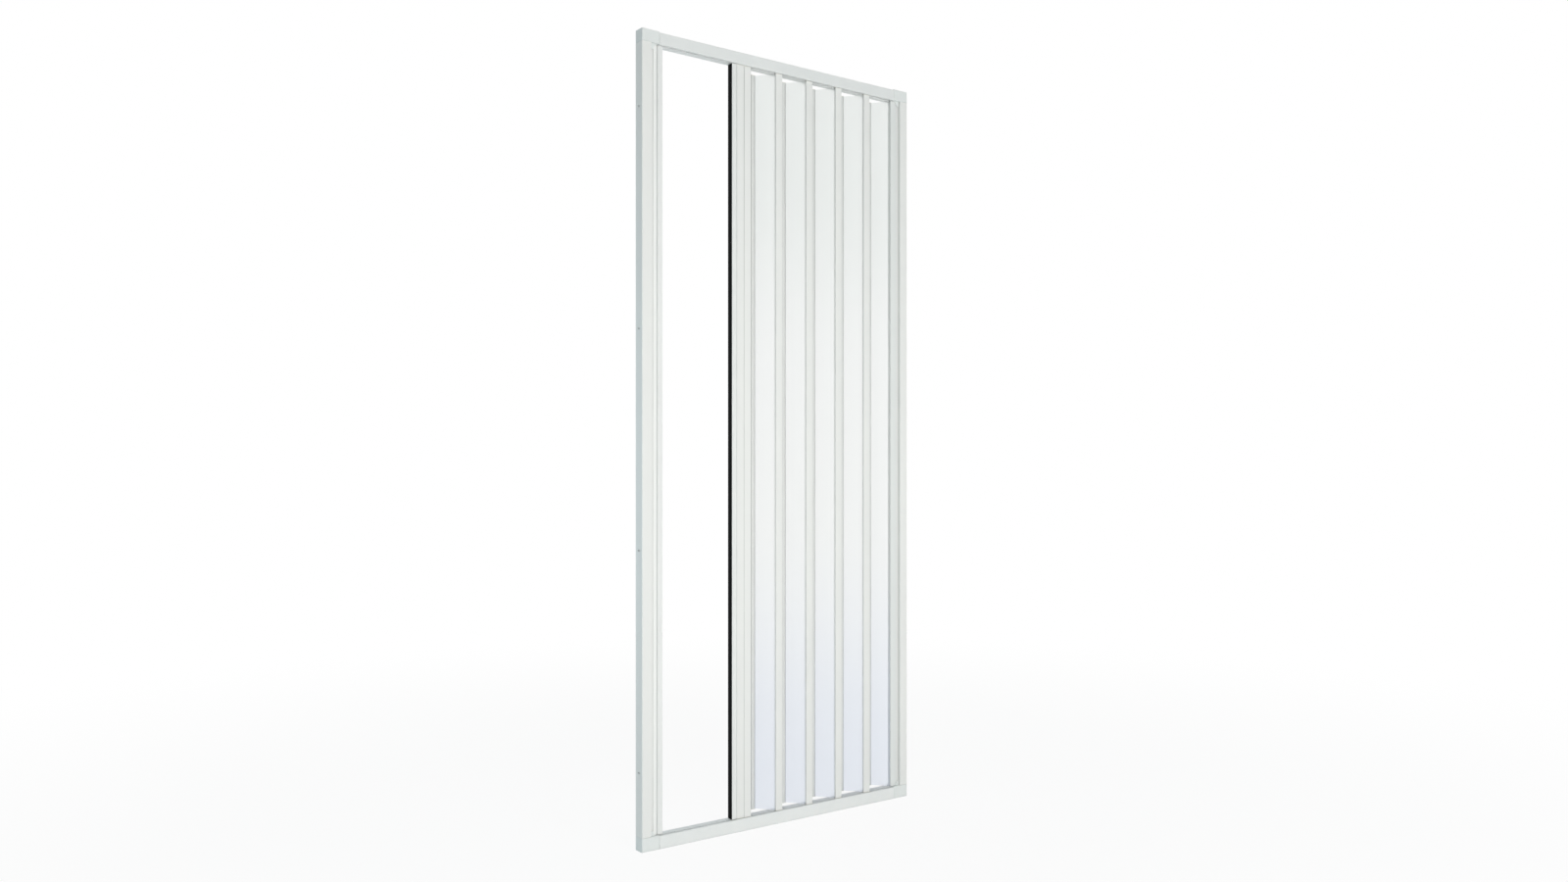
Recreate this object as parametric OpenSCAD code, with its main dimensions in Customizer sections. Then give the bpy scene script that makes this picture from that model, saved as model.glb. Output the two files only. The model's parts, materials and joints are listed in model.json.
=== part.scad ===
// Folding shower door: a white extruded frame for a niche, a pleated bellows of ten
// translucent panels hung on front and back slats, and a lead post with a magnet seal.
// It stands partly open. The origin is the middle of the bottom rail's underside.
// +Z is up, -Y is the outside of the shower, and the lead post closes towards -X.

/* [Doorway] */
// Width from wall to wall
door_w = 800; // [740:5:1000]
// Height from the tray to the top of the corners
door_h = 1850; // [1600:10:2000]
// Depth of the frame, from its front face to its back face
frame_d = 30; // [30:0.5:34]

/* [Rails] */
// Height of the top rail
top_rail_h = 27; // [24:0.5:36]
// How far the top rail's roof lies below the top of the corners
top_rail_drop = 2; // [0.5:0.25:3]
// Height of the bottom rail
bottom_rail_h = 30; // [26:0.5:40]
// Wall of both rails
rail_wall = 1.8; // [1.4:0.1:2.4]
// Width of the slot that the gliders run in
slot_w = 4.2; // [3.6:0.1:5]
// Depth of the track chamber behind the front wall
track_d = 14.4; // [12:0.2:15]
// Number of drain slots in the bottom rail
drain_slots = 5; // [2:1:9]
// Width of a drain slot
drain_w = 12; // [6:1:30]
// Height of a drain slot
drain_h = 3; // [2:0.5:6]

/* [Corners] */
// Width of a corner piece along the rail
corner_w = 45; // [40:0.5:52]
// Height of a top corner
top_corner_h = 28; // [27:0.5:36]
// Height of a bottom corner
bottom_corner_h = 31.5; // [31:0.5:42]
// Wall of a corner moulding
corner_wall = 2; // [1.6:0.1:3]
// Radius of the gusset in each corner of the opening
gusset_r = 12; // [6:0.5:12.5]
// Thickness of the gusset
gusset_t = 1.3; // [1:0.1:1.6]
// Length of the spigots that go into the rails and the wall channels
spigot_len = 18; // [10:1:30]
// Wall of the hollow spigots
spigot_wall = 1.6; // [1.2:0.1:2.2]

/* [Wall channels] */
// Width of the channel's front and back faces
channel_w = 24; // [23:0.5:28]
// Wall of the channel
channel_wall = 2; // [1.6:0.1:2.6]
// Depth of the lip that turns in behind each face
lip_d = 8; // [7:0.25:8.5]
// Radius along the outer edges of the channels, rails and corners
edge_r = 1.5; // [0.6:0.1:2.4]
// Radius of a corner piece's edges beside the rail
seam_r = 0.7; // [0.4:0.1:1.2]
// Radius of the wall screw holes
wall_hole_r = 2.6; // [2:0.1:3.5]
// Distance between the outer pair of wall screw holes
outer_holes = 1500; // [1200:10:1500]
// Distance between the inner pair of wall screw holes
inner_holes = 500; // [300:10:900]

/* [Jambs] */
// Reach of a jamb from the wall to the inner edge of its face
jamb_reach = 32; // [29:0.5:36]
// Distance from the wall to the jamb's guide flange
jamb_inset = 10; // [9:0.5:12]
// Wall of the jambs and of the profiles that clip to them
profile_wall = 1.4; // [1.1:0.1:1.8]
// Width of the mouths that the snap tongues go into
mouth_w = 7; // [5.5:0.25:7.5]
// Radius of the shanks of the jamb screws
screw_r = 1.75; // [1.4:0.05:2]
// Distance between the jamb screws
screw_pitch = 625; // [400:5:700]

/* [Strike and end profiles] */
// Front face of the strike and end profiles, behind the front of the frame
profile_front = 7.4; // [7.3:0.1:8]
// Depth of the strike and end profiles
profile_d = 14; // [13:0.25:15]
// Width of the strike profile
strike_w = 7.2; // [6.5:0.1:9]
// Gap between the strike profile and the magnet carrier in front of it
strike_gap = 4.6; // [3:0.1:6]
// Width of the end profile that holds the last panel
end_w = 19.2; // [17:0.1:22]
// Distance from the end profile's free edge to its hinge line
end_hinge_inset = 2.6; // [2.4:0.1:3]

/* [Bellows] */
// Front face of the front slats and of the lead post, behind the front of the frame
slat_front = 5.5; // [5.3:0.1:6.5]
// Width of a front slat
front_slat_w = 20; // [18:0.5:24]
// Width of a back slat
back_slat_w = 16; // [15:0.5:20]
// Thickness of the slats at their chamber
slat_t = 6.2; // [5.8:0.1:7]
// Wall of the slats
slat_wall = 1.2; // [0.9:0.05:1.5]
// Thickness of a panel
panel_t = 2; // [1.6:0.1:2.4]
// Angle of a panel to the rails with the door shut, which sets how wide a panel is
shut_angle = 11.8; // [8:0.2:20]
// Angle of a panel as the door stands
fold_angle = 51.5; // [25:0.5:80]
// Angle of a panel with the bellows stacked
stacked_angle = 85; // [80:1:85]
// Distance from the front of a slat to its hinge lines
hinge_y = 4.5; // [4.3:0.1:4.8]
// Radius of the bead along each edge of a panel
bead_r = 1.25; // [1:0.05:1.4]
// Wall of the knuckle that grips the bead
knuckle_wall = 0.9; // [0.7:0.05:1]
// Thickness of the neck between a bead and its panel
neck_t = 1.2; // [0.9:0.05:1.4]

/* [Lead post] */
// Depth of the lead post
post_d = 18.25; // [15.5:0.25:20]
// Width of the box profile in the middle of the post
post_box_w = 20.9; // [18:0.1:26]
// Width of the magnet carriers
carrier_w = 13.2; // [12:0.1:15]
// Wall of the magnet carriers
carrier_wall = 1.2; // [0.9:0.1:1.5]
// Width and depth of the magnet strips
magnet_w = 5.6; // [4:0.1:6]
magnet_d = 9.6; // [7:0.1:10]
// Thickness of the seal strip
seal_t = 1.2; // [1:0.1:1.6]
// Height that the seal's beads stand proud
seal_bead = 0.5; // [0.3:0.05:0.8]

/* [Gliders] */
// Thickness of the flange that closes the end of a slat
cap_t = 0.8; // [0.6:0.1:1]
// Length of the plugs in the slats and the post
plug_len = 16; // [8:1:25]
// Length of a slat's glider shoe
shoe_len = 18; // [12:0.5:19]
// Length of the lead post's glider shoe
post_shoe_len = 36; // [24:1:40]
// Width of a glider shoe
shoe_w = 8; // [6.5:0.1:9]
// Height of a glider shoe
shoe_h = 5; // [3:0.1:7]

/* [Clearances] */
// Seam between pieces that butt
seam = 0.4; // [0.1:0.05:0.5]
// Clearance round pieces that clip or slide together
fit = 0.2; // [0.1:0.05:0.3]
// Running clearance of a bead in its knuckle
bead_fit = 0.06; // [0.04:0.01:0.1]
// Gap between the slats' end flanges and the rails
rail_gap = 0.5; // [0.3:0.05:0.8]
// Gap that is left between the seal and the strike when the door is shut
shut_gap = 0.3; // [0.2:0.05:0.5]

/* [Hidden] */
$fn = 48;
FRONT_SLATS = 4;
BACK_SLATS = 5;
PANELS = 2 * BACK_SLATS;

// Colours
PVC_WHITE = [0.93, 0.94, 0.93];
MOULDED_WHITE = [0.90, 0.92, 0.92];
PANEL_WHITE = [0.95, 0.97, 0.98, 0.75];
NYLON = [0.96, 0.96, 0.94];
SEAL_BLACK = [0.09, 0.09, 0.10];
MAGNET_BLACK = [0.16, 0.15, 0.15];
STEEL = [0.72, 0.73, 0.75];

// Heights of the frame, measured from the tray
top_rail_z = door_h - top_rail_drop - top_rail_h;
channel_lo = bottom_corner_h + seam;
channel_hi = door_h - top_corner_h - seam;
profile_hi = top_rail_z - seam - 0.1;
slot_y = slat_front + (slat_t + slat_wall) / 2 - 0.3;
hole_mid_z = (channel_lo + channel_hi) / 2;

// Heights of the bellows
bellows_lo = bottom_rail_h + rail_gap + cap_t;
bellows_hi = top_rail_z - rail_gap - cap_t;
panel_lo = bellows_lo + 0.3;
panel_hi = bellows_hi - 0.3;

// The hinge
knuckle_in = bead_r + bead_fit;
knuckle_out = knuckle_in + knuckle_wall;
front_hinge_x = front_slat_w / 2 - knuckle_out;
back_hinge_x = back_slat_w / 2 - knuckle_out;
neck_half_angle = asin((neck_t / 2 + bead_fit) / knuckle_in);
mouth_spare = 2;

// The panels' width, from the space between the end profile and the strike
strike_left = jamb_reach + seam;
strike_face = strike_left + strike_w + strike_gap + carrier_w;
end_left = door_w - jamb_reach - seam - end_w;
post_len = front_slat_w / 2 + front_hinge_x + 2 * seam + post_box_w + carrier_w + seal_bead;
shut_len = end_left + end_hinge_inset - strike_face - shut_gap - post_len;
panel_len = (shut_len - 2 * FRONT_SLATS * front_hinge_x - 2 * BACK_SLATS * back_hinge_x)
    / PANELS / cos(shut_angle);

// The pleats, from the front left corner of the frame
fold_dx = panel_len * cos(fold_angle);
fold_dy = panel_len * sin(fold_angle);
pleat = 2 * (front_hinge_x + back_hinge_x + fold_dx);
front_hinge_line = slat_front + hinge_y;
back_hinge_line = front_hinge_line + fold_dy;
function front_x(i) = end_left + end_hinge_inset + front_hinge_x - (FRONT_SLATS + 1 - i) * pleat;
function back_x(j) = (front_x(j - 1) + front_x(j)) / 2;

// The lead post, whose slat is front slat 0
lead_slat_left = front_x(0) - front_slat_w / 2;
post_box_left = lead_slat_left - seam - post_box_w;
carrier_left = post_box_left - seam - carrier_w;

// Everything is drawn from the front left corner of the frame, then centred
module in_frame() translate([-door_w / 2, -frame_d / 2, 0]) children();

// An upright extrusion between two heights
module upright(lo, hi) translate([0, 0, lo]) linear_extrude(hi - lo) children();

// An outline in Y and Z, run along X
module along_x(from, to)
    translate([from, 0, 0]) rotate([90, 0, 90]) linear_extrude(to - from) children();

// An outline in X and Z, run back from a depth
module back_from(y, t) translate([0, y + t, 0]) rotate([90, 0, 0]) linear_extrude(t) children();

module from_right() translate([door_w, 0, 0]) mirror([1, 0, 0]) children();

// A rectangle with round corners
module round_rect(size, r) {
    translate([r, 0]) square([size.x - 2 * r, size.y]);
    translate([0, r]) square([size.x, size.y - 2 * r]);
    for (x = [r, size.x - r], y = [r, size.y - r])
        translate([x, y]) circle(r);
}

// A rectangle whose two front corners are round
module front_round(w, d, r) {
    translate([r, 0]) square([w - 2 * r, d]);
    translate([0, r]) square([w, d - r]);
    for (x = [r, w - r])
        translate([x, r]) circle(r);
}

module wedge(from, to, r) {
    mid = (from + to) / 2;
    polygon([[0, 0], for (a = [from, mid, to]) r * [cos(a), sin(a)]]);
}

// Two sprung legs along +x, whose barbs hook behind the lips of a mouth
module snap_tongue(stem, lip, reach) {
    half = mouth_w / 2 - fit;
    leg = 1.2;
    barb = 0.9;
    hook = stem + lip + fit;
    for (side = [0, 1])
        mirror([0, side])
            polygon([
                [0, half - leg], [0, half], [hook, half], [hook, half + barb],
                [stem + reach, half - leg / 2], [stem + reach, half - leg]
            ]);
}

// The bore and the open side of a knuckle whose panel swings from one angle to another
module knuckle_bore(swing_from, swing_to) {
    circle(knuckle_in);
    wedge(swing_from - neck_half_angle - mouth_spare, swing_to + neck_half_angle + mouth_spare,
          1.7 * knuckle_out);
}

// A slat from behind its front face: a chamber, and a knuckle near each edge
module slat_profile(w, hinge_x) {
    chamber_half = hinge_x - knuckle_out + 0.4;
    difference() {
        union() {
            translate([-w / 2, 0]) front_round(w, slat_wall + 0.4, slat_wall);
            translate([-chamber_half, 0]) square([2 * chamber_half, slat_t]);
            for (side = [-1, 1])
                translate([side * hinge_x, hinge_y]) {
                    circle(knuckle_out);
                    translate([-slat_wall / 2, slat_wall - hinge_y])
                        square([slat_wall, hinge_y - slat_wall]);
                }
        }
        slat_chamber(hinge_x, 0);
        for (side = [0, 1])
            mirror([side, 0])
                translate([hinge_x, hinge_y])
                    knuckle_bore(shut_angle, stacked_angle);
    }
}

// The chamber in a slat, drawn smaller all round for the plug that fills it
module slat_chamber(hinge_x, gap) {
    half = hinge_x - knuckle_out + 0.4 - slat_wall - gap;
    front = slat_wall + 0.4 + gap;
    translate([-half, front]) square([2 * half, slat_t - slat_wall - gap - front]);
}

module front_slat_at(i) translate([front_x(i), slat_front]) children();

// A back slat faces the other way, so that its hinges lie in front of it
module back_slat_at(j) translate([back_x(j), back_hinge_line + hinge_y]) mirror([0, 1]) children();

// A panel from its front hinge at the origin to its back hinge along +x
module panel_profile() {
    neck_len = knuckle_out + 0.5;
    taper = 1;
    for (end = [0, 1])
        translate([end * panel_len, 0])
            mirror([end, 0]) {
                circle(bead_r);
                translate([0, -neck_t / 2]) square([neck_len, neck_t]);
            }
    polygon([
        [neck_len, -neck_t / 2], [neck_len + taper, -panel_t / 2],
        [panel_len - neck_len - taper, -panel_t / 2], [panel_len - neck_len, -neck_t / 2],
        [panel_len - neck_len, neck_t / 2], [panel_len - neck_len - taper, panel_t / 2],
        [neck_len + taper, panel_t / 2], [neck_len, neck_t / 2]
    ]);
}

// Odd panels run back to the right from a front slat, even ones back to the left
module panel(n) {
    slat = ceil(n / 2);
    odd = n % 2 == 1;
    start = odd ? front_x(slat - 1) + front_hinge_x : front_x(slat) - front_hinge_x;
    color(PANEL_WHITE)
        in_frame()
            upright(panel_lo, panel_hi)
                translate([start, front_hinge_line])
                    rotate(odd ? fold_angle : 180 - fold_angle)
                        panel_profile();
}

module front_slat(i)
    color(PVC_WHITE)
        in_frame()
            upright(bellows_lo, bellows_hi)
                front_slat_at(i)
                    slat_profile(front_slat_w, front_hinge_x);

module back_slat(j)
    color(PVC_WHITE)
        in_frame()
            upright(bellows_lo, bellows_hi)
                back_slat_at(j)
                    slat_profile(back_slat_w, back_hinge_x);

// The flange over the end of a slat, which keeps the panels' beads in their knuckles
module slat_flange(w) {
    depth = hinge_y + knuckle_out;
    translate([-w / 2 + fit, fit]) round_rect([w - 2 * fit, depth - 2 * fit], 1);
}

// A plug in the slat's chamber and a flange on its end, drawn upwards from the slat's top
module slat_cap(w, hinge_x) {
    translate([0, 0, -plug_len]) linear_extrude(plug_len + cap_t / 2) slat_chamber(hinge_x, fit);
    linear_extrude(cap_t) slat_flange(w);
}

// A shoe with round ends on a neck that goes through the rail's slot
module glider_shoe(length) {
    neck_len = length * 0.4;
    neck_w = slot_w - 2 * fit;
    shoe_z = cap_t + rail_gap + rail_wall + fit;
    translate([-neck_len / 2, -neck_w / 2, 0]) cube([neck_len, neck_w, shoe_z + shoe_h / 2]);
    translate([-length / 2, -shoe_w / 2, shoe_z])
        linear_extrude(shoe_h)
            round_rect([length, shoe_w], shoe_w / 2 - 0.5);
}

// Children drawn upwards from the bellows' top, at either end of the bellows
module at_bellows_end(top)
    translate([0, 0, top ? bellows_hi : bellows_lo])
        mirror([0, 0, top ? 0 : 1])
            children();

module slat_glider(i, top)
    color(NYLON)
        in_frame()
            at_bellows_end(top) {
                front_slat_at(i) slat_cap(front_slat_w, front_hinge_x);
                translate([front_x(i), slot_y]) glider_shoe(shoe_len);
            }

module back_slat_caps(j)
    color(NYLON)
        in_frame()
            for (top = [true, false])
                at_bellows_end(top)
                    back_slat_at(j)
                        slat_cap(back_slat_w, back_hinge_x);

// The wall channel: a web on the wall, and two faces whose lips turn in
module channel_profile() {
    difference() {
        round_rect([channel_w, frame_d], edge_r);
        translate([channel_wall, channel_wall])
            square([channel_w - 2 * channel_wall, frame_d - 2 * channel_wall]);
        translate([channel_w - 2 * channel_wall, lip_d])
            square([3 * channel_wall, frame_d - 2 * lip_d]);
    }
}

// Heights of the screws that hold a jamb in its channel
function screw_heights() = [for (k = [-1 : 1]) hole_mid_z + k * screw_pitch];
screw_x = (jamb_inset + channel_w) / 2;

module wall_channel()
    difference() {
        upright(channel_lo, channel_hi) channel_profile();
        for (z = [outer_holes, inner_holes], side = [-1, 1])
            translate([-1, frame_d / 2, hole_mid_z + side * z / 2])
                rotate([0, 90, 0]) cylinder(h = channel_wall + 2, r = wall_hole_r);
        for (z = screw_heights())
            translate([0, frame_d - channel_wall - 1, z])
                rotate([-90, 0, 0])
                    linear_extrude(channel_wall + 2)
                        screw_slot();
    }

// The slot lets the jamb slide in or out to suit an uneven wall
module screw_slot() {
    slide = 2.5;
    half = screw_r + fit;
    translate([screw_x - slide, -half]) square([2 * slide, 2 * half]);
    for (side = [-1, 1])
        translate([screw_x + side * slide, 0]) circle(half);
}

// The jamb: a box that slides between the channel's lips, with a guide flange inside them
module jamb_profile() {
    box_d = frame_d - 2 * lip_d - 2 * fit;
    flange_d = frame_d - 2 * channel_wall - 2 * fit;
    difference() {
        union() {
            translate([jamb_inset, lip_d + fit]) square([jamb_reach - jamb_inset, box_d]);
            translate([jamb_inset, channel_wall + fit]) square([profile_wall, flange_d]);
        }
        translate([jamb_inset + profile_wall, lip_d + fit + profile_wall])
            square([jamb_reach - jamb_inset - 2 * profile_wall, box_d - 2 * profile_wall]);
        translate([jamb_reach - 2 * profile_wall, (frame_d - mouth_w) / 2])
            square([3 * profile_wall, mouth_w]);
    }
}

module jamb()
    difference() {
        upright(channel_lo, channel_hi) jamb_profile();
        for (z = screw_heights())
            translate([screw_x, frame_d / 2, z])
                rotate([-90, 0, 0]) cylinder(h = frame_d / 2, r = screw_r + 0.05);
    }

// A pan-head screw along -Y, with its head's seat at the origin
module pan_screw(length) {
    head_r = 2 * screw_r;
    head_h = 1.1 * screw_r;
    rotate([90, 0, 0]) cylinder(h = length, r = screw_r);
    rotate([-90, 0, 0])
        difference() {
            rotate_extrude() {
                square([head_r - 0.6, head_h]);
                square([head_r, head_h - 0.6]);
                translate([head_r - 0.6, head_h - 0.6]) circle(0.6);
            }
            for (turn = [0, 90])
                rotate(turn)
                    translate([-screw_r, -0.4, head_h / 2]) cube([2 * screw_r, 0.8, head_h]);
        }
}

module jamb_screws()
    for (z = screw_heights())
        translate([screw_x, frame_d, z])
            pan_screw(frame_d / 2 - 2 * fit);

// The rails: a slotted track chamber at the front and a closed chamber at the back
module rail_profile(h) {
    back_chamber = track_d + 2 * rail_wall;
    difference() {
        round_rect([frame_d, h], edge_r);
        translate([rail_wall, rail_wall]) square([track_d, h - 2 * rail_wall]);
        translate([back_chamber, rail_wall])
            square([frame_d - back_chamber - rail_wall, h - 2 * rail_wall]);
        translate([slot_y - slot_w / 2, h - 2 * rail_wall]) square([slot_w, 3 * rail_wall]);
    }
}

module bottom_rail()
    color(PVC_WHITE)
        in_frame()
            difference() {
                along_x(corner_w + seam, door_w - corner_w - seam)
                    rail_profile(bottom_rail_h);
                drain();
            }

// Slots that let the water in the bottom rail run back into the shower
module drain() {
    span = door_w - 2 * corner_w;
    pitch = span / drain_slots;
    first = corner_w + pitch / 2;
    for (k = [0 : drain_slots - 1])
        translate([first + k * pitch - drain_w / 2, track_d, rail_wall])
            cube([drain_w, frame_d, drain_h]);
}

module top_rail()
    color(PVC_WHITE)
        in_frame()
            translate([0, 0, top_rail_z + top_rail_h])
                mirror([0, 0, 1])
                    along_x(corner_w + seam, door_w - corner_w - seam)
                        rail_profile(top_rail_h);

// The spigot's place in a rail's back chamber: its low Y and Z, and its size
module rail_spigot(rail_z, rail_h, inset) {
    lo_y = track_d + 2 * rail_wall + fit + inset;
    hi_y = frame_d - rail_wall - fit - inset;
    lo_z = rail_z + rail_wall + fit + inset;
    hi_z = rail_z + rail_h - rail_wall - fit - inset;
    translate([lo_y, lo_z]) square([hi_y - lo_y, hi_z - lo_z]);
}

// The outside of a corner moulding, round along every edge that shows
module corner_block(h)
    intersection() {
        along_x(0, corner_w) round_rect([frame_d, h], edge_r);
        upright(0, h) {
            round_rect([corner_w / 2 + edge_r, frame_d], edge_r);
            translate([corner_w / 2, 0]) round_rect([corner_w / 2, frame_d], seam_r);
            translate([edge_r, 0]) square([corner_w - edge_r - seam_r, frame_d]);
        }
    }

// A corner moulding of a given height, drawn as a bottom left one. The rail starts at
// rail_z above the moulding's base. Its pockets open towards the rail.
module corner(h, rail_z, rail_h) {
    spigot_x = jamb_inset - channel_wall - 2 * fit;
    spigot_d = frame_d - 2 * channel_wall - 2 * fit;
    difference() {
        union() {
            corner_block(h);
            along_x(corner_w / 2, corner_w + spigot_len) rail_spigot(rail_z, rail_h, 0);
            translate([channel_wall + fit, channel_wall + fit, h / 2])
                cube([spigot_x, spigot_d, h / 2 + spigot_len]);
        }
        along_x(2 * corner_wall, corner_w + 1)
            translate([corner_wall, rail_z + corner_wall])
                square([track_d + rail_wall - corner_wall, rail_h - 2 * corner_wall]);
        along_x(2 * corner_wall, corner_w + spigot_len + 1)
            rail_spigot(rail_z, rail_h, spigot_wall);
        translate([channel_wall + fit + spigot_wall, channel_wall + fit + spigot_wall, h + 1])
            cube([spigot_x - 2 * spigot_wall, spigot_d - 2 * spigot_wall, spigot_len]);
    }
    gusset(h, rail_z + rail_h);
}

// The web that rounds the corner of the opening, in front of the jamb
module gusset(block_h, rail_top) {
    left = channel_w + seam;
    r = min(gusset_r, corner_w - jamb_reach - seam);
    base = min(block_h, rail_top) - gusset_t;
    gusset_back = min(profile_front, lip_d + fit) - fit;
    back_from(gusset_back - gusset_t, gusset_t)
        difference() {
            translate([left, base]) square([jamb_reach + r - left, rail_top + r - base]);
            translate([jamb_reach + r, rail_top + r]) circle(r);
        }
}

module bottom_corner() corner(bottom_corner_h, 0, bottom_rail_h);

module top_corner()
    translate([0, 0, door_h])
        mirror([0, 0, 1])
            corner(top_corner_h, top_rail_drop, top_rail_h);

// The strike: a profile clipped to the left jamb, a soft carrier and its magnet
module strike_profile()
    color(PVC_WHITE)
        in_frame()
            upright(channel_lo, channel_hi) {
                translate([strike_left, profile_front])
                    difference() {
                        front_round(strike_w, profile_d, 1);
                        translate([profile_wall, profile_wall])
                            square([strike_w - 2 * profile_wall, profile_d - 2 * profile_wall]);
                        translate([strike_w - 2 * profile_wall, (profile_d - mouth_w) / 2])
                            square([3 * profile_wall, mouth_w]);
                    }
                jamb_tongue();
            }

// The tongue that clips a profile into the mouth of the left jamb
module jamb_tongue()
    translate([strike_left, frame_d / 2])
        mirror([1, 0])
            snap_tongue(seam, profile_wall, 6);

// A carrier from its closing face at x = 0 back to its width, with the magnet near the face
module carrier_profile(depth) {
    magnet_at = (depth - magnet_d) / 2;
    face = seal_t + carrier_wall;
    rear = face + magnet_w + 2 * fit + carrier_wall;
    difference() {
        round_rect([carrier_w, depth], 1);
        translate([face, magnet_at - fit]) square([magnet_w + 2 * fit, magnet_d + 2 * fit]);
        translate([rear, carrier_wall])
            square([carrier_w - carrier_wall - rear, depth - 2 * carrier_wall]);
    }
}

module magnet_profile(depth)
    translate([seal_t + carrier_wall + fit, (depth - magnet_d) / 2]) square([magnet_w, magnet_d]);

module at_strike() translate([strike_face, profile_front]) mirror([1, 0]) children();

module strike_magnet_carrier()
    color(MOULDED_WHITE)
        in_frame()
            upright(channel_lo, profile_hi)
                at_strike() {
                    carrier_profile(profile_d);
                    translate([carrier_w - 0.1, profile_d / 2 - mouth_w / 2 - 1])
                        square([strike_gap - seam + 0.1, mouth_w + 2]);
                    translate([carrier_w + strike_gap - seam, profile_d / 2])
                        snap_tongue(seam, profile_wall, 3.6);
                }

module strike_magnet()
    color(MAGNET_BLACK)
        in_frame()
            upright(channel_lo + 1, profile_hi - 1)
                at_strike()
                    magnet_profile(profile_d);

// The end profile: a front plate, the last knuckle behind it, and a box clipped to the jamb
module end_profile() {
    axis = [end_hinge_inset, front_hinge_line - profile_front];
    box_left = end_hinge_inset + knuckle_out + 0.3;
    color(PVC_WHITE)
        in_frame() {
            upright(channel_lo, profile_hi)
                translate([end_left, profile_front])
                    difference() {
                        union() {
                            front_round(end_w, profile_wall, 0.9);
                            translate([box_left, 0]) front_round(end_w - box_left, profile_d, 0.9);
                            translate(axis) {
                                circle(knuckle_out);
                                translate([0, -slat_wall / 2]) square([knuckle_out + 1, slat_wall]);
                            }
                        }
                        translate([box_left + profile_wall, profile_wall])
                            square([end_w - box_left - 2 * profile_wall, profile_d - 2 * profile_wall]);
                        translate(axis)
                            mirror([1, 0]) knuckle_bore(shut_angle, stacked_angle);
                    }
            from_right() upright(channel_lo, profile_hi) jamb_tongue();
        }
}

// The lead post, from its seal to the slat that holds the first panel
module lead_at(x) translate([x, slat_front]) children();

module lead_seal()
    color(SEAL_BLACK)
        in_frame()
            upright(bellows_lo, bellows_hi)
                lead_at(carrier_left) {
                    lip = 0.8;
                    width = post_d - 2 * lip - 2 * fit;
                    translate([0, lip + fit]) square([seal_t - fit, width]);
                    for (k = [0 : 3])
                        translate([0, lip + fit + width * (k + 0.5) / 4]) circle(seal_bead);
                }

module lead_magnet_carrier()
    color(MOULDED_WHITE)
        in_frame()
            upright(bellows_lo, bellows_hi)
                lead_at(carrier_left) {
                    lip = 0.8;
                    difference() {
                        carrier_profile(post_d);
                        translate([-1, lip]) square([seal_t + 1, post_d - 2 * lip]);
                    }
                    translate([carrier_w, post_d / 2]) snap_tongue(seam, profile_wall, 5);
                }

module lead_magnet()
    color(MAGNET_BLACK)
        in_frame()
            upright(bellows_lo + 1, bellows_hi - 1)
                lead_at(carrier_left)
                    magnet_profile(post_d);

// The chamber of the post's box profile, drawn smaller all round for its plug
module post_chamber(gap) {
    inset = profile_wall + gap;
    translate([inset, inset]) square([post_box_w - 2 * inset, post_d - 2 * inset]);
}

module lead_box_profile()
    color(PVC_WHITE)
        in_frame()
            upright(bellows_lo, bellows_hi)
                lead_at(post_box_left)
                    difference() {
                        round_rect([post_box_w, post_d], 1.2);
                        post_chamber(0);
                        for (x = [-profile_wall, post_box_w - 2 * profile_wall])
                            translate([x, (post_d - mouth_w) / 2])
                                square([3 * profile_wall, mouth_w]);
                    }

lead_slat_box_w = front_slat_w / 2 + front_hinge_x - knuckle_out - 0.3;

module lead_slat_chamber(gap) {
    inset = profile_wall + gap;
    translate([inset, inset])
        square([lead_slat_box_w - 2 * inset, post_d - 2 * inset]);
}

module lead_slat()
    color(PVC_WHITE)
        in_frame()
            upright(bellows_lo, bellows_hi)
                lead_at(lead_slat_left) {
                    axis = [front_slat_w / 2 + front_hinge_x, hinge_y];
                    difference() {
                        union() {
                            front_round(front_slat_w, slat_wall + 0.4, slat_wall);
                            front_round(lead_slat_box_w, post_d, slat_wall);
                            translate(axis) {
                                circle(knuckle_out);
                                translate([-knuckle_out - 1, -slat_wall / 2])
                                    square([knuckle_out + 1, slat_wall]);
                                translate([-slat_wall / 2, slat_wall - hinge_y])
                                    square([slat_wall, hinge_y - slat_wall]);
                            }
                        }
                        lead_slat_chamber(0);
                        translate(axis) knuckle_bore(shut_angle, stacked_angle);
                    }
                    translate([0, post_d / 2]) mirror([1, 0]) snap_tongue(seam, profile_wall, 5);
                }

// The post's glider: a flange over the post's end, two plugs and a long shoe
module lead_glider(top) {
    tongue_reach = 5.6;
    plug_x = tongue_reach + profile_wall;
    cover_w = post_box_w + seam + front_slat_w - 2 * fit;
    color(NYLON)
        in_frame()
            at_bellows_end(top) {
                lead_at(post_box_left) {
                    linear_extrude(cap_t)
                        translate([fit, fit]) round_rect([cover_w, post_d - 2 * fit], 1);
                    translate([0, 0, -plug_len])
                        linear_extrude(plug_len + cap_t / 2)
                            intersection() {
                                post_chamber(fit);
                                translate([plug_x, 0]) square([post_box_w - 2 * plug_x, post_d]);
                            }
                }
                lead_at(lead_slat_left)
                    translate([0, 0, -plug_len])
                        linear_extrude(plug_len + cap_t / 2)
                            lead_slat_chamber(fit);
                translate([post_box_left + (post_box_w + front_slat_w) / 2, slot_y])
                    glider_shoe(post_shoe_len);
            }
}

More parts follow.
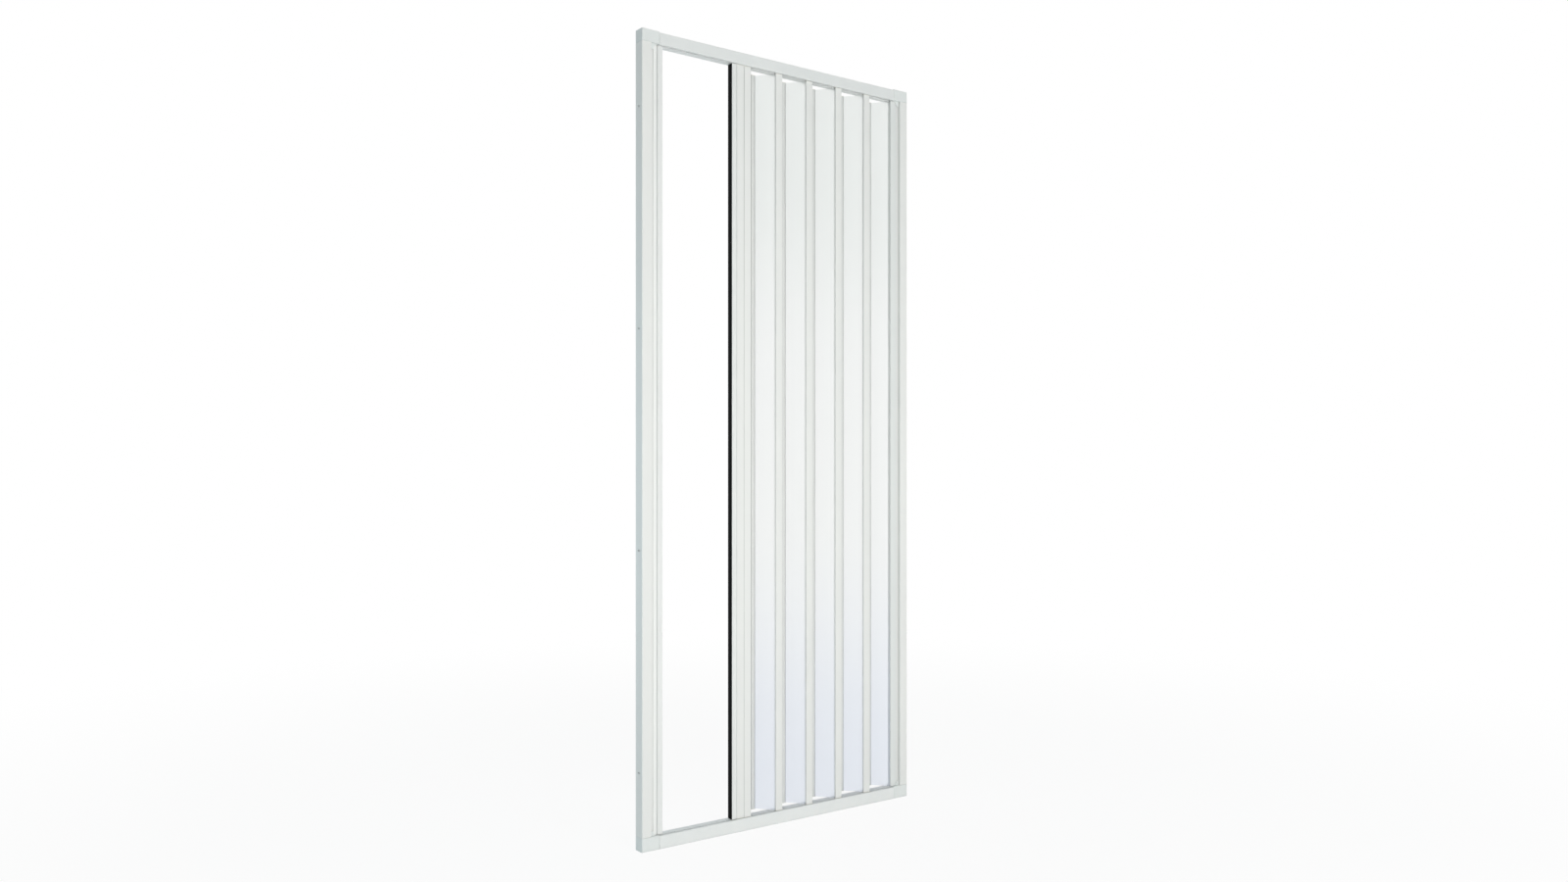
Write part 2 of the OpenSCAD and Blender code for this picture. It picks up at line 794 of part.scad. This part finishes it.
module left_wall_channel() color(PVC_WHITE) in_frame() wall_channel();
module right_wall_channel() color(PVC_WHITE) in_frame() from_right() wall_channel();
module left_jamb() color(PVC_WHITE) in_frame() jamb();
module right_jamb() color(PVC_WHITE) in_frame() from_right() jamb();
module left_jamb_screws() color(STEEL) in_frame() jamb_screws();
module right_jamb_screws() color(STEEL) in_frame() from_right() jamb_screws();
module bottom_left_corner() color(MOULDED_WHITE) in_frame() bottom_corner();
module bottom_right_corner() color(MOULDED_WHITE) in_frame() from_right() bottom_corner();
module top_left_corner() color(MOULDED_WHITE) in_frame() top_corner();
module top_right_corner() color(MOULDED_WHITE) in_frame() from_right() top_corner();

left_wall_channel();
right_wall_channel();
left_jamb();
right_jamb();
left_jamb_screws();
right_jamb_screws();
top_rail();
bottom_rail();
top_left_corner();
top_right_corner();
bottom_left_corner();
bottom_right_corner();
strike_profile();
strike_magnet_carrier();
strike_magnet();
end_profile();
lead_box_profile();
lead_slat();
lead_magnet_carrier();
lead_magnet();
lead_seal();
lead_glider(true);  // lead_top_glider
lead_glider(false);  // lead_bottom_glider
for (i = [1 : FRONT_SLATS]) {
    front_slat(i);
    slat_glider(i, true);
    slat_glider(i, false);
}
for (j = [1 : BACK_SLATS]) {
    back_slat(j);
    back_slat_caps(j);
}
for (n = [1 : PANELS])
    panel(n);
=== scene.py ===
import json
import math

import bpy
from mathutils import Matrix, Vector

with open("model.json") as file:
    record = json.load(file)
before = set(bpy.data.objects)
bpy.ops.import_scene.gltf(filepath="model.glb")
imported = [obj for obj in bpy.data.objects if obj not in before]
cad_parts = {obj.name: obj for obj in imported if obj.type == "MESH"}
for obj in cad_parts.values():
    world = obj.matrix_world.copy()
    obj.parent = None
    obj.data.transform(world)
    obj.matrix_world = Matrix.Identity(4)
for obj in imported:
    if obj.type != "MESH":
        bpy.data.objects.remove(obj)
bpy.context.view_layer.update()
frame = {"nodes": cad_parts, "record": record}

# A folding shower door of white extruded PVC, standing partly open on a pale studio floor.
# Metres, +Z up. The outside of the shower is -Y, and the lead post closes towards -X.

NODES = frame["nodes"]
MM = 0.001

# Camera: its place and direction were worked out from the photograph's perspective
PHOTO_W, PHOTO_H = 1600, 900
FOCAL_PX = 1252
HORIZON_ROW = 476.4
CAMERA_AT = Vector((-1.791, -2.406, 0.8653))
CAMERA_HEADING = Vector((0.59875, 0.80094, 0))
SENSOR_MM = 36

# Die lines: the size of a streak in the skin of an upright and of a rail. Real ones are finer,
# and these are as coarse as they need to be to show.
UPRIGHT_LINES_MM = (2.4, 2.4, 900)
RAIL_LINES_MM = (900, 2.4, 2.4)

# Painted joint shade: how far it reaches from a seam, and the share of the colour that is left deep
# in it
JOINT_REACH_MM = 8
JOINT_DEPTH = 0.84

# Heights on the panels, in metres, between which painted shade greys their white above and painted
# cool light tints it below
PAINTED_SHADE_FROM_Z, PAINTED_SHADE_TO_Z = 1.1, 1.6
PAINTED_COOL_FROM_Z, PAINTED_COOL_TO_Z = 0.75, 0.08

# Broken edges: their round, the turn that counts as an edge, and how close points are merged
EDGE_ROUND_MM = 0.3
EDGE_TURN = math.radians(40)
SAME_POINT_MM = 0.001
BROKEN_EDGE_ENDINGS = ("_rail", "_jamb", "_profile", "_corner", "_slat", "_carrier")

# Floor: white to the eye, but for a small share near the door that shows the door's shadow
FLOOR_SIZE = 30
FLOOR_GAP_MM = 0.2
WHITE_SHARE_NEAR = 0.92
FADE_FROM, FADE_TO = 0.6, 3.5

# Room: dim, but bright behind the door, in the directions that point back by more than this
ROOM_LIGHT = 0.36
BACKDROP_LIGHT = 1.25
BACKDROP_FROM_Y = 0.2

# Lamps: a large soft one in front, and a weak cool one on the strike's side
FRONT_LIGHT_W = 50
FRONT_LIGHT_SIZE = 1.5
FRONT_LIGHT_AT = (-0.3, -3.0, 0.82)
FRONT_LIGHT_AIM = (-0.1, 0, 0.9)
FILL_LIGHT_W = 1.6
FILL_LIGHT_SIZE = 0.8
FILL_LIGHT_AT = (-1.75, 0.25, 0.8)
FILL_LIGHT_AIM = (-0.4, 0, 0.8)
FILL_LIGHT_SPREAD = 110


def make_camera():
    data = bpy.data.cameras.new("studio_camera")
    data.sensor_width = SENSOR_MM
    data.lens = FOCAL_PX / PHOTO_W * SENSOR_MM
    data.shift_y = (HORIZON_ROW - PHOTO_H / 2) / PHOTO_W
    data.clip_start, data.clip_end = 0.05, 60
    camera = bpy.data.objects.new("studio_camera", data)
    bpy.context.scene.collection.objects.link(camera)
    camera.location = CAMERA_AT
    camera.rotation_euler = CAMERA_HEADING.to_track_quat("-Z", "Y").to_euler()
    bpy.context.scene.camera = camera


def linear(hex_colour):
    """An sRGB hex colour such as "f2f4f3" as linear RGBA."""
    out = []
    for k in (0, 2, 4):
        c = int(hex_colour[k:k + 2], 16) / 255
        out.append(c / 12.92 if c <= 0.04045 else ((c + 0.055) / 1.055) ** 2.4)
    return (*out, 1.0)


def add(tree, kind, inputs=None, **settings):
    """Adds a shader node. inputs maps a socket's name or number to a value or an output to link."""
    node = tree.nodes.new("ShaderNode" + kind)
    for name, value in settings.items():
        setattr(node, name, value)
    for name, value in (inputs or {}).items():
        if isinstance(value, bpy.types.NodeSocket):
            tree.links.new(value, node.inputs[name])
        else:
            node.inputs[name].default_value = value
    return node


def new_material(name):
    material = bpy.data.materials.new(name)
    material.use_nodes = True
    material.node_tree.nodes.clear()
    return material, material.node_tree


def stretched(tree, size_mm):
    """Object coordinates counted in pattern sizes, given in millimetres along X, Y and Z."""
    place = add(tree, "TexCoord")
    return add(tree, "Mapping", {
        "Vector": place.outputs["Object"],
        "Scale": tuple(1 / (s * MM) for s in size_mm),
    }).outputs[0]


def shaded_joints(tree, colour, reach_mm=JOINT_REACH_MM, deepest=JOINT_DEPTH):
    """A colour with painted shade: greyer in seams and recesses, where light hardly gets in."""
    openness = add(tree, "AmbientOcclusion", {"Distance": reach_mm * MM}, samples=6)
    shade = add(tree, "MapRange", {"Value": openness.outputs["AO"], "To Min": deepest})
    return add(tree, "Mix", {0: 1.0, "A": colour, "B": shade.outputs[0]},
               data_type="RGBA", blend_type="MULTIPLY").outputs["Result"]


def extruded_pvc(name, line_mm, dark, light, reach_mm=JOINT_REACH_MM, deepest=JOINT_DEPTH):
    """Rigid white PVC, extruded: a satin skin with faint die lines that run along the profile, and
    painted shade in its seams and recesses.
    """
    material, tree = new_material(name)
    lines = add(tree, "TexNoise", {"Vector": stretched(tree, line_mm), "Scale": 1.0,
                                   "Detail": 3.0, "Roughness": 0.55})
    cloud = add(tree, "TexNoise", {"Vector": stretched(tree, (60, 60, 240)), "Scale": 1.0,
                                   "Detail": 2.0})
    tone = add(tree, "Mix", {0: cloud.outputs[0], "A": linear(dark), "B": linear(light)},
               data_type="RGBA")
    satin = add(tree, "MapRange", {"Value": lines.outputs[0], "To Min": 0.30, "To Max": 0.42})
    bump = add(tree, "Bump", {"Height": lines.outputs[0], "Strength": 0.25,
                              "Distance": 0.06 * MM})
    shader = add(tree, "BsdfPrincipled", {
        "Base Color": shaded_joints(tree, tone.outputs["Result"], reach_mm, deepest),
        "Roughness": satin.outputs[0],
        "Normal": bump.outputs[0],
        "IOR": 1.53,
        "Specular IOR Level": 0.4,
    })
    add(tree, "OutputMaterial", {"Surface": shader.outputs[0]})
    return material


def moulded_abs(name):
    """White ABS from a spark-eroded mould: an even grain, a slightly greyer white and painted shade
    in its seams and recesses. The grain is coarser than a real one, so that it shows."""
    material, tree = new_material(name)
    grain = add(tree, "TexNoise", {"Vector": stretched(tree, (1.1, 1.1, 1.1)), "Scale": 1.0,
                                   "Detail": 4.0, "Roughness": 0.6})
    tone = add(tree, "Mix", {0: grain.outputs[0], "A": linear("e7ebea"), "B": linear("eff3f1")},
               data_type="RGBA")
    matt = add(tree, "MapRange", {"Value": grain.outputs[0], "To Min": 0.42, "To Max": 0.55})
    bump = add(tree, "Bump", {"Height": grain.outputs[0], "Strength": 0.35,
                              "Distance": 0.08 * MM})
    shader = add(tree, "BsdfPrincipled", {
        "Base Color": shaded_joints(tree, tone.outputs["Result"]),
        "Roughness": matt.outputs[0],
        "Normal": bump.outputs[0],
        "IOR": 1.53,
    })
    add(tree, "OutputMaterial", {"Surface": shader.outputs[0]})
    return material


def soft_white_pvc(name):
    """White plasticised PVC, extruded: a little more matt and waxy than the rigid profiles, with
    painted shade in its seams and recesses.
    """
    material, tree = new_material(name)
    flow = add(tree, "TexNoise", {"Vector": stretched(tree, (3, 3, 700)), "Scale": 1.0,
                                  "Detail": 3.0})
    cloud = add(tree, "TexNoise", {"Vector": stretched(tree, (40, 40, 160)), "Scale": 1.0,
                                   "Detail": 2.0})
    tone = add(tree, "Mix", {0: cloud.outputs[0], "A": linear("ecedec"), "B": linear("f2f4f2")},
               data_type="RGBA")
    waxy = add(tree, "MapRange", {"Value": flow.outputs[0], "To Min": 0.48, "To Max": 0.6})
    bump = add(tree, "Bump", {"Height": flow.outputs[0], "Strength": 0.3,
                              "Distance": 0.08 * MM})
    shader = add(tree, "BsdfPrincipled", {
        "Base Color": shaded_joints(tree, tone.outputs["Result"]),
        "Roughness": waxy.outputs[0],
        "Normal": bump.outputs[0],
        "IOR": 1.52,
        "Specular IOR Level": 0.4,
    })
    add(tree, "OutputMaterial", {"Surface": shader.outputs[0]})
    return material


def frosted_pvc(name):
    """Translucent white PVC sheet: light comes through it softly, and nothing behind shows sharply.
    It is clearest at mid height, with painted shade that greys it above and painted cool light
    towards the tray. Its grain is coarser than a real one, so that it shows."""
    material, tree = new_material(name)
    flow = add(tree, "TexNoise", {"Vector": stretched(tree, (5, 5, 1200)), "Scale": 1.0,
                                  "Detail": 2.0})
    grain = add(tree, "TexNoise", {"Vector": stretched(tree, (1.4, 1.4, 1.4)), "Scale": 1.0,
                                   "Detail": 3.0})
    place = add(tree, "TexCoord")
    height = add(tree, "SeparateXYZ", {0: place.outputs["Object"]}).outputs["Z"]
    # Shares by height of the painted shade above and the painted cool light below
    painted_shade_share = add(tree, "MapRange", {"Value": height, "From Min": PAINTED_SHADE_FROM_Z, "From Max": PAINTED_SHADE_TO_Z},
               interpolation_type="SMOOTHSTEP")
    painted_cool_share = add(tree, "MapRange", {"Value": height, "From Min": PAINTED_COOL_FROM_Z, "From Max": PAINTED_COOL_TO_Z},
              interpolation_type="SMOOTHSTEP")
    white = add(tree, "Mix", {0: flow.outputs[0], "A": linear("fafcfb"), "B": linear("fefffe")},
                data_type="RGBA")
    # Painted shade greys the white high up, and painted cool light tints it near the tray
    grey = add(tree, "Mix", {0: painted_shade_share.outputs[0], "A": white.outputs["Result"],
                             "B": linear("f4f7f5")}, data_type="RGBA")
    cool = add(tree, "Mix", {0: painted_cool_share.outputs[0], "A": grey.outputs["Result"],
                             "B": linear("f2f6fd")}, data_type="RGBA")
    frost = add(tree, "MapRange", {"Value": flow.outputs[0], "To Min": 0.34, "To Max": 0.42})
    bump = add(tree, "Bump", {"Height": grain.outputs[0], "Strength": 0.3,
                              "Distance": 0.05 * MM})
    shader = add(tree, "BsdfPrincipled", {
        "Base Color": cool.outputs["Result"],
        "Roughness": frost.outputs[0],
        "Normal": bump.outputs[0],
        "IOR": 1.45,
        "Transmission Weight": 0.94,
    })
    add(tree, "OutputMaterial", {"Surface": shader.outputs[0]})
    return material


def soft_black_pvc(name):
    """Black plasticised PVC seal: matt, with a faint bloom."""
    material, tree = new_material(name)
    bloom = add(tree, "TexNoise", {"Vector": stretched(tree, (4, 4, 60)), "Scale": 1.0,
                                   "Detail": 4.0})
    tone = add(tree, "Mix", {0: bloom.outputs[0], "A": linear("131314"), "B": linear("1e1e1f")},
               data_type="RGBA")
    matt = add(tree, "MapRange", {"Value": bloom.outputs[0], "To Min": 0.6, "To Max": 0.75})
    shader = add(tree, "BsdfPrincipled", {
        "Base Color": tone.outputs["Result"],
        "Roughness": matt.outputs[0],
        "IOR": 1.5,
        "Specular IOR Level": 0.06,
    })
    add(tree, "OutputMaterial", {"Surface": shader.outputs[0]})
    return material


def bonded_ferrite(name):
    """Magnet strip of ferrite powder in rubber: dark brown-grey and granular. The grains are
    coarser than real ones, so that they show."""
    material, tree = new_material(name)
    powder = add(tree, "TexNoise", {"Vector": stretched(tree, (0.9, 0.9, 0.9)), "Scale": 1.0,
                                    "Detail": 5.0})
    tone = add(tree, "Mix", {0: powder.outputs[0], "A": linear("2a2624"), "B": linear("4a4542")},
               data_type="RGBA")
    bump = add(tree, "Bump", {"Height": powder.outputs[0], "Strength": 0.4,
                              "Distance": 0.08 * MM})
    shader = add(tree, "BsdfPrincipled", {
        "Base Color": tone.outputs["Result"],
        "Roughness": 0.7,
        "Normal": bump.outputs[0],
    })
    add(tree, "OutputMaterial", {"Surface": shader.outputs[0]})
    return material


def natural_nylon(name):
    """Unfilled nylon, moulded: milky, waxy and a little yellow."""
    material, tree = new_material(name)
    cloud = add(tree, "TexNoise", {"Vector": stretched(tree, (6, 6, 6)), "Scale": 1.0,
                                   "Detail": 3.0})
    tone = add(tree, "Mix", {0: cloud.outputs[0], "A": linear("e8e6dc"), "B": linear("f2f0e8")},
               data_type="RGBA")
    waxy = add(tree, "MapRange", {"Value": cloud.outputs[0], "To Min": 0.38, "To Max": 0.5})
    shader = add(tree, "BsdfPrincipled", {
        "Base Color": tone.outputs["Result"],
        "Roughness": waxy.outputs[0],
        "IOR": 1.53,
        "Coat Weight": 0.1,
    })
    add(tree, "OutputMaterial", {"Surface": shader.outputs[0]})
    return material


def stainless_steel(name):
    """Turned stainless screws: a bright metal with fine turning marks."""
    material, tree = new_material(name)
    marks = add(tree, "TexNoise", {"Vector": stretched(tree, (0.6, 0.6, 0.6)), "Scale": 1.0,
                                   "Detail": 4.0})
    tone = add(tree, "Mix", {0: marks.outputs[0], "A": linear("b9bcc0"), "B": linear("d3d6d9")},
               data_type="RGBA")
    turned = add(tree, "MapRange", {"Value": marks.outputs[0], "To Min": 0.22, "To Max": 0.36})
    shader = add(tree, "BsdfPrincipled", {
        "Base Color": tone.outputs["Result"],
        "Metallic": 1.0,
        "Roughness": turned.outputs[0],
    })
    add(tree, "OutputMaterial", {"Surface": shader.outputs[0]})
    return material


def is_numbered_slat(name):
    return "_slat_" in name and not name.endswith(("_glider", "_caps"))


def paint_nodes():
    upright = extruded_pvc("extruded_pvc_upright", UPRIGHT_LINES_MM, "ecedeb", "f3f4f1")
    # The same PVC, a touch greyer and with deeper painted shade, for faces deep in the pleats and in
    # recesses
    painted_pleat_shade = extruded_pvc("extruded_pvc_painted_pleat_shade", UPRIGHT_LINES_MM, "eaecea", "f1f3f1",
                            reach_mm=40, deepest=0.72)
    # The end profile in a greyer white that is painted shade of its recess, so it takes less joint
    # shade
    end_profile_painted_shade = extruded_pvc("extruded_pvc_end_profile_painted_shade", UPRIGHT_LINES_MM, "e4e7e6", "ebeeec",
                       deepest=0.95)
    strike = extruded_pvc("extruded_pvc_strike_profile", UPRIGHT_LINES_MM, "f5f6f4", "fbfcfa")
    # The top rail's greyer white is painted shade
    top_rail_painted_shade = extruded_pvc("extruded_pvc_top_rail_painted_shade", RAIL_LINES_MM, "e8ebea", "eff1f0")
    bottom = extruded_pvc("extruded_pvc_bottom_rail", RAIL_LINES_MM, "ecefee", "f3f5f4")
    soft_white = soft_white_pvc("soft_white_pvc")
    by_slot = {
        "pvc_white": upright,
        "moulded_white": moulded_abs("moulded_abs"),
        "panel_sheet": frosted_pvc("frosted_pvc_sheet"),
        "nylon": natural_nylon("natural_nylon"),
        "seal": soft_black_pvc("soft_black_pvc"),
        "magnet": bonded_ferrite("bonded_ferrite"),
        "screw_steel": stainless_steel("stainless_steel"),
    }
    by_name = {
        "top_rail": top_rail_painted_shade,
        "bottom_rail": bottom,
        "end_profile": end_profile_painted_shade,
        "strike_profile": strike,
        "strike_magnet_carrier": soft_white,
        "lead_magnet_carrier": soft_white,
        # The right jamb sits in a recess and gets the painted pleat shade
        "right_jamb": painted_pleat_shade,
    }
    slot_of = {s["node"]: s["material_slot"] for s in frame["record"]["subparts"]}
    for name, node in NODES.items():
        material = by_name.get(name, by_slot[slot_of[name]])
        # Back slats get painted shade for the depth of the pleats they stand in
        if name.startswith("back_") and is_numbered_slat(name):
            material = painted_pleat_shade
        node.data.materials.clear()
        node.data.materials.append(material)


def break_edges():
    """Gives cut ends and mould edges a small round that catches the light. The wall channels go
    without, because round their screw holes it left faint streaks on the long flat faces."""
    for name, node in NODES.items():
        if not (name.endswith(BROKEN_EDGE_ENDINGS) or is_numbered_slat(name)):
            continue
        merge = node.modifiers.new("merged_triangles", "WELD")
        merge.merge_threshold = SAME_POINT_MM * MM
        bevel = node.modifiers.new("broken_edges", "BEVEL")
        bevel.width = EDGE_ROUND_MM * MM
        bevel.segments = 2
        bevel.limit_method = "ANGLE"
        bevel.angle_limit = EDGE_TURN
        bevel.harden_normals = True


def background_rays(tree):
    """1 for camera, glossy and transmission rays, which show the background, and 0 for others."""
    path = add(tree, "LightPath")
    seen = path.outputs["Is Camera Ray"]
    for ray in ("Is Glossy Ray", "Is Transmission Ray"):
        seen = add(tree, "Math", {0: seen, 1: path.outputs[ray]}, operation="MAXIMUM").outputs[0]
    return seen


def make_floor():
    bpy.ops.mesh.primitive_plane_add(size=FLOOR_SIZE, location=(0, 0, -FLOOR_GAP_MM * MM))
    floor = bpy.context.object
    floor.name = "studio_floor"
    material, tree = new_material("studio_floor_paint")
    place = add(tree, "TexCoord")
    from_middle = add(tree, "VectorMath", {0: place.outputs["Object"]}, operation="LENGTH")
    share = add(tree, "MapRange", {"Value": from_middle.outputs["Value"],
                                   "From Min": FADE_FROM, "From Max": FADE_TO,
                                   "To Min": WHITE_SHARE_NEAR},
                interpolation_type="SMOOTHSTEP")
    whiteness = add(tree, "Math", {0: background_rays(tree), 1: share.outputs[0]},
                    operation="MULTIPLY")
    paint = add(tree, "BsdfDiffuse", {"Color": linear("f4f5f5")})
    white = add(tree, "Emission", {"Color": (1, 1, 1, 1), "Strength": 1.0})
    mixed = add(tree, "MixShader", {0: whiteness.outputs[0], 1: paint.outputs[0],
                                    2: white.outputs[0]})
    add(tree, "OutputMaterial", {"Surface": mixed.outputs[0]})
    floor.data.materials.append(material)


def make_room():
    world = bpy.data.worlds.new("studio_room")
    bpy.context.scene.world = world
    world.use_nodes = True
    tree = world.node_tree
    tree.nodes.clear()
    direction = add(tree, "TexCoord")
    back = add(tree, "SeparateXYZ", {0: direction.outputs["Generated"]}).outputs["Y"]
    strength = add(tree, "MapRange", {"Value": back, "From Min": BACKDROP_FROM_Y,
                                      "To Min": ROOM_LIGHT, "To Max": BACKDROP_LIGHT},
                   interpolation_type="SMOOTHSTEP")
    room = add(tree, "Background", {"Color": linear("e9f3f5"), "Strength": strength.outputs[0]})
    white = add(tree, "Background", {"Color": (1, 1, 1, 1), "Strength": 1.0})
    mixed = add(tree, "MixShader", {0: background_rays(tree), 1: room.outputs[0],
                                    2: white.outputs[0]})
    add(tree, "OutputWorld", {"Surface": mixed.outputs[0]})


def area_lamp(name, power, colour, size, place, aim):
    """A soft box whose image shows in no surface and through no sheet: seen from behind, its glow
    would make the translucent panels clip to white."""
    data = bpy.data.lights.new(name, "AREA")
    data.color = linear(colour)[:3]
    data.shape = "SQUARE"
    data.size = size
    data.energy = power
    lamp = bpy.data.objects.new(name, data)
    bpy.context.scene.collection.objects.link(lamp)
    lamp.location = place
    lamp.rotation_euler = (Vector(aim) - Vector(place)).to_track_quat("-Z", "Y").to_euler()
    lamp.visible_glossy = False
    lamp.visible_transmission = False
    return data


def make_lights():
    area_lamp("front_light", FRONT_LIGHT_W, "fffbf8", FRONT_LIGHT_SIZE, FRONT_LIGHT_AT,
              FRONT_LIGHT_AIM)
    fill = area_lamp("fill_light", FILL_LIGHT_W, "dcf3ff", FILL_LIGHT_SIZE, FILL_LIGHT_AT,
                     FILL_LIGHT_AIM)
    fill.spread = math.radians(FILL_LIGHT_SPREAD)


bpy.ops.object.select_all(action="DESELECT")
make_camera()
paint_nodes()
break_edges()
make_floor()
make_room()
make_lights()
bpy.context.scene.view_settings.view_transform = "Standard"
bpy.context.view_layer.update()
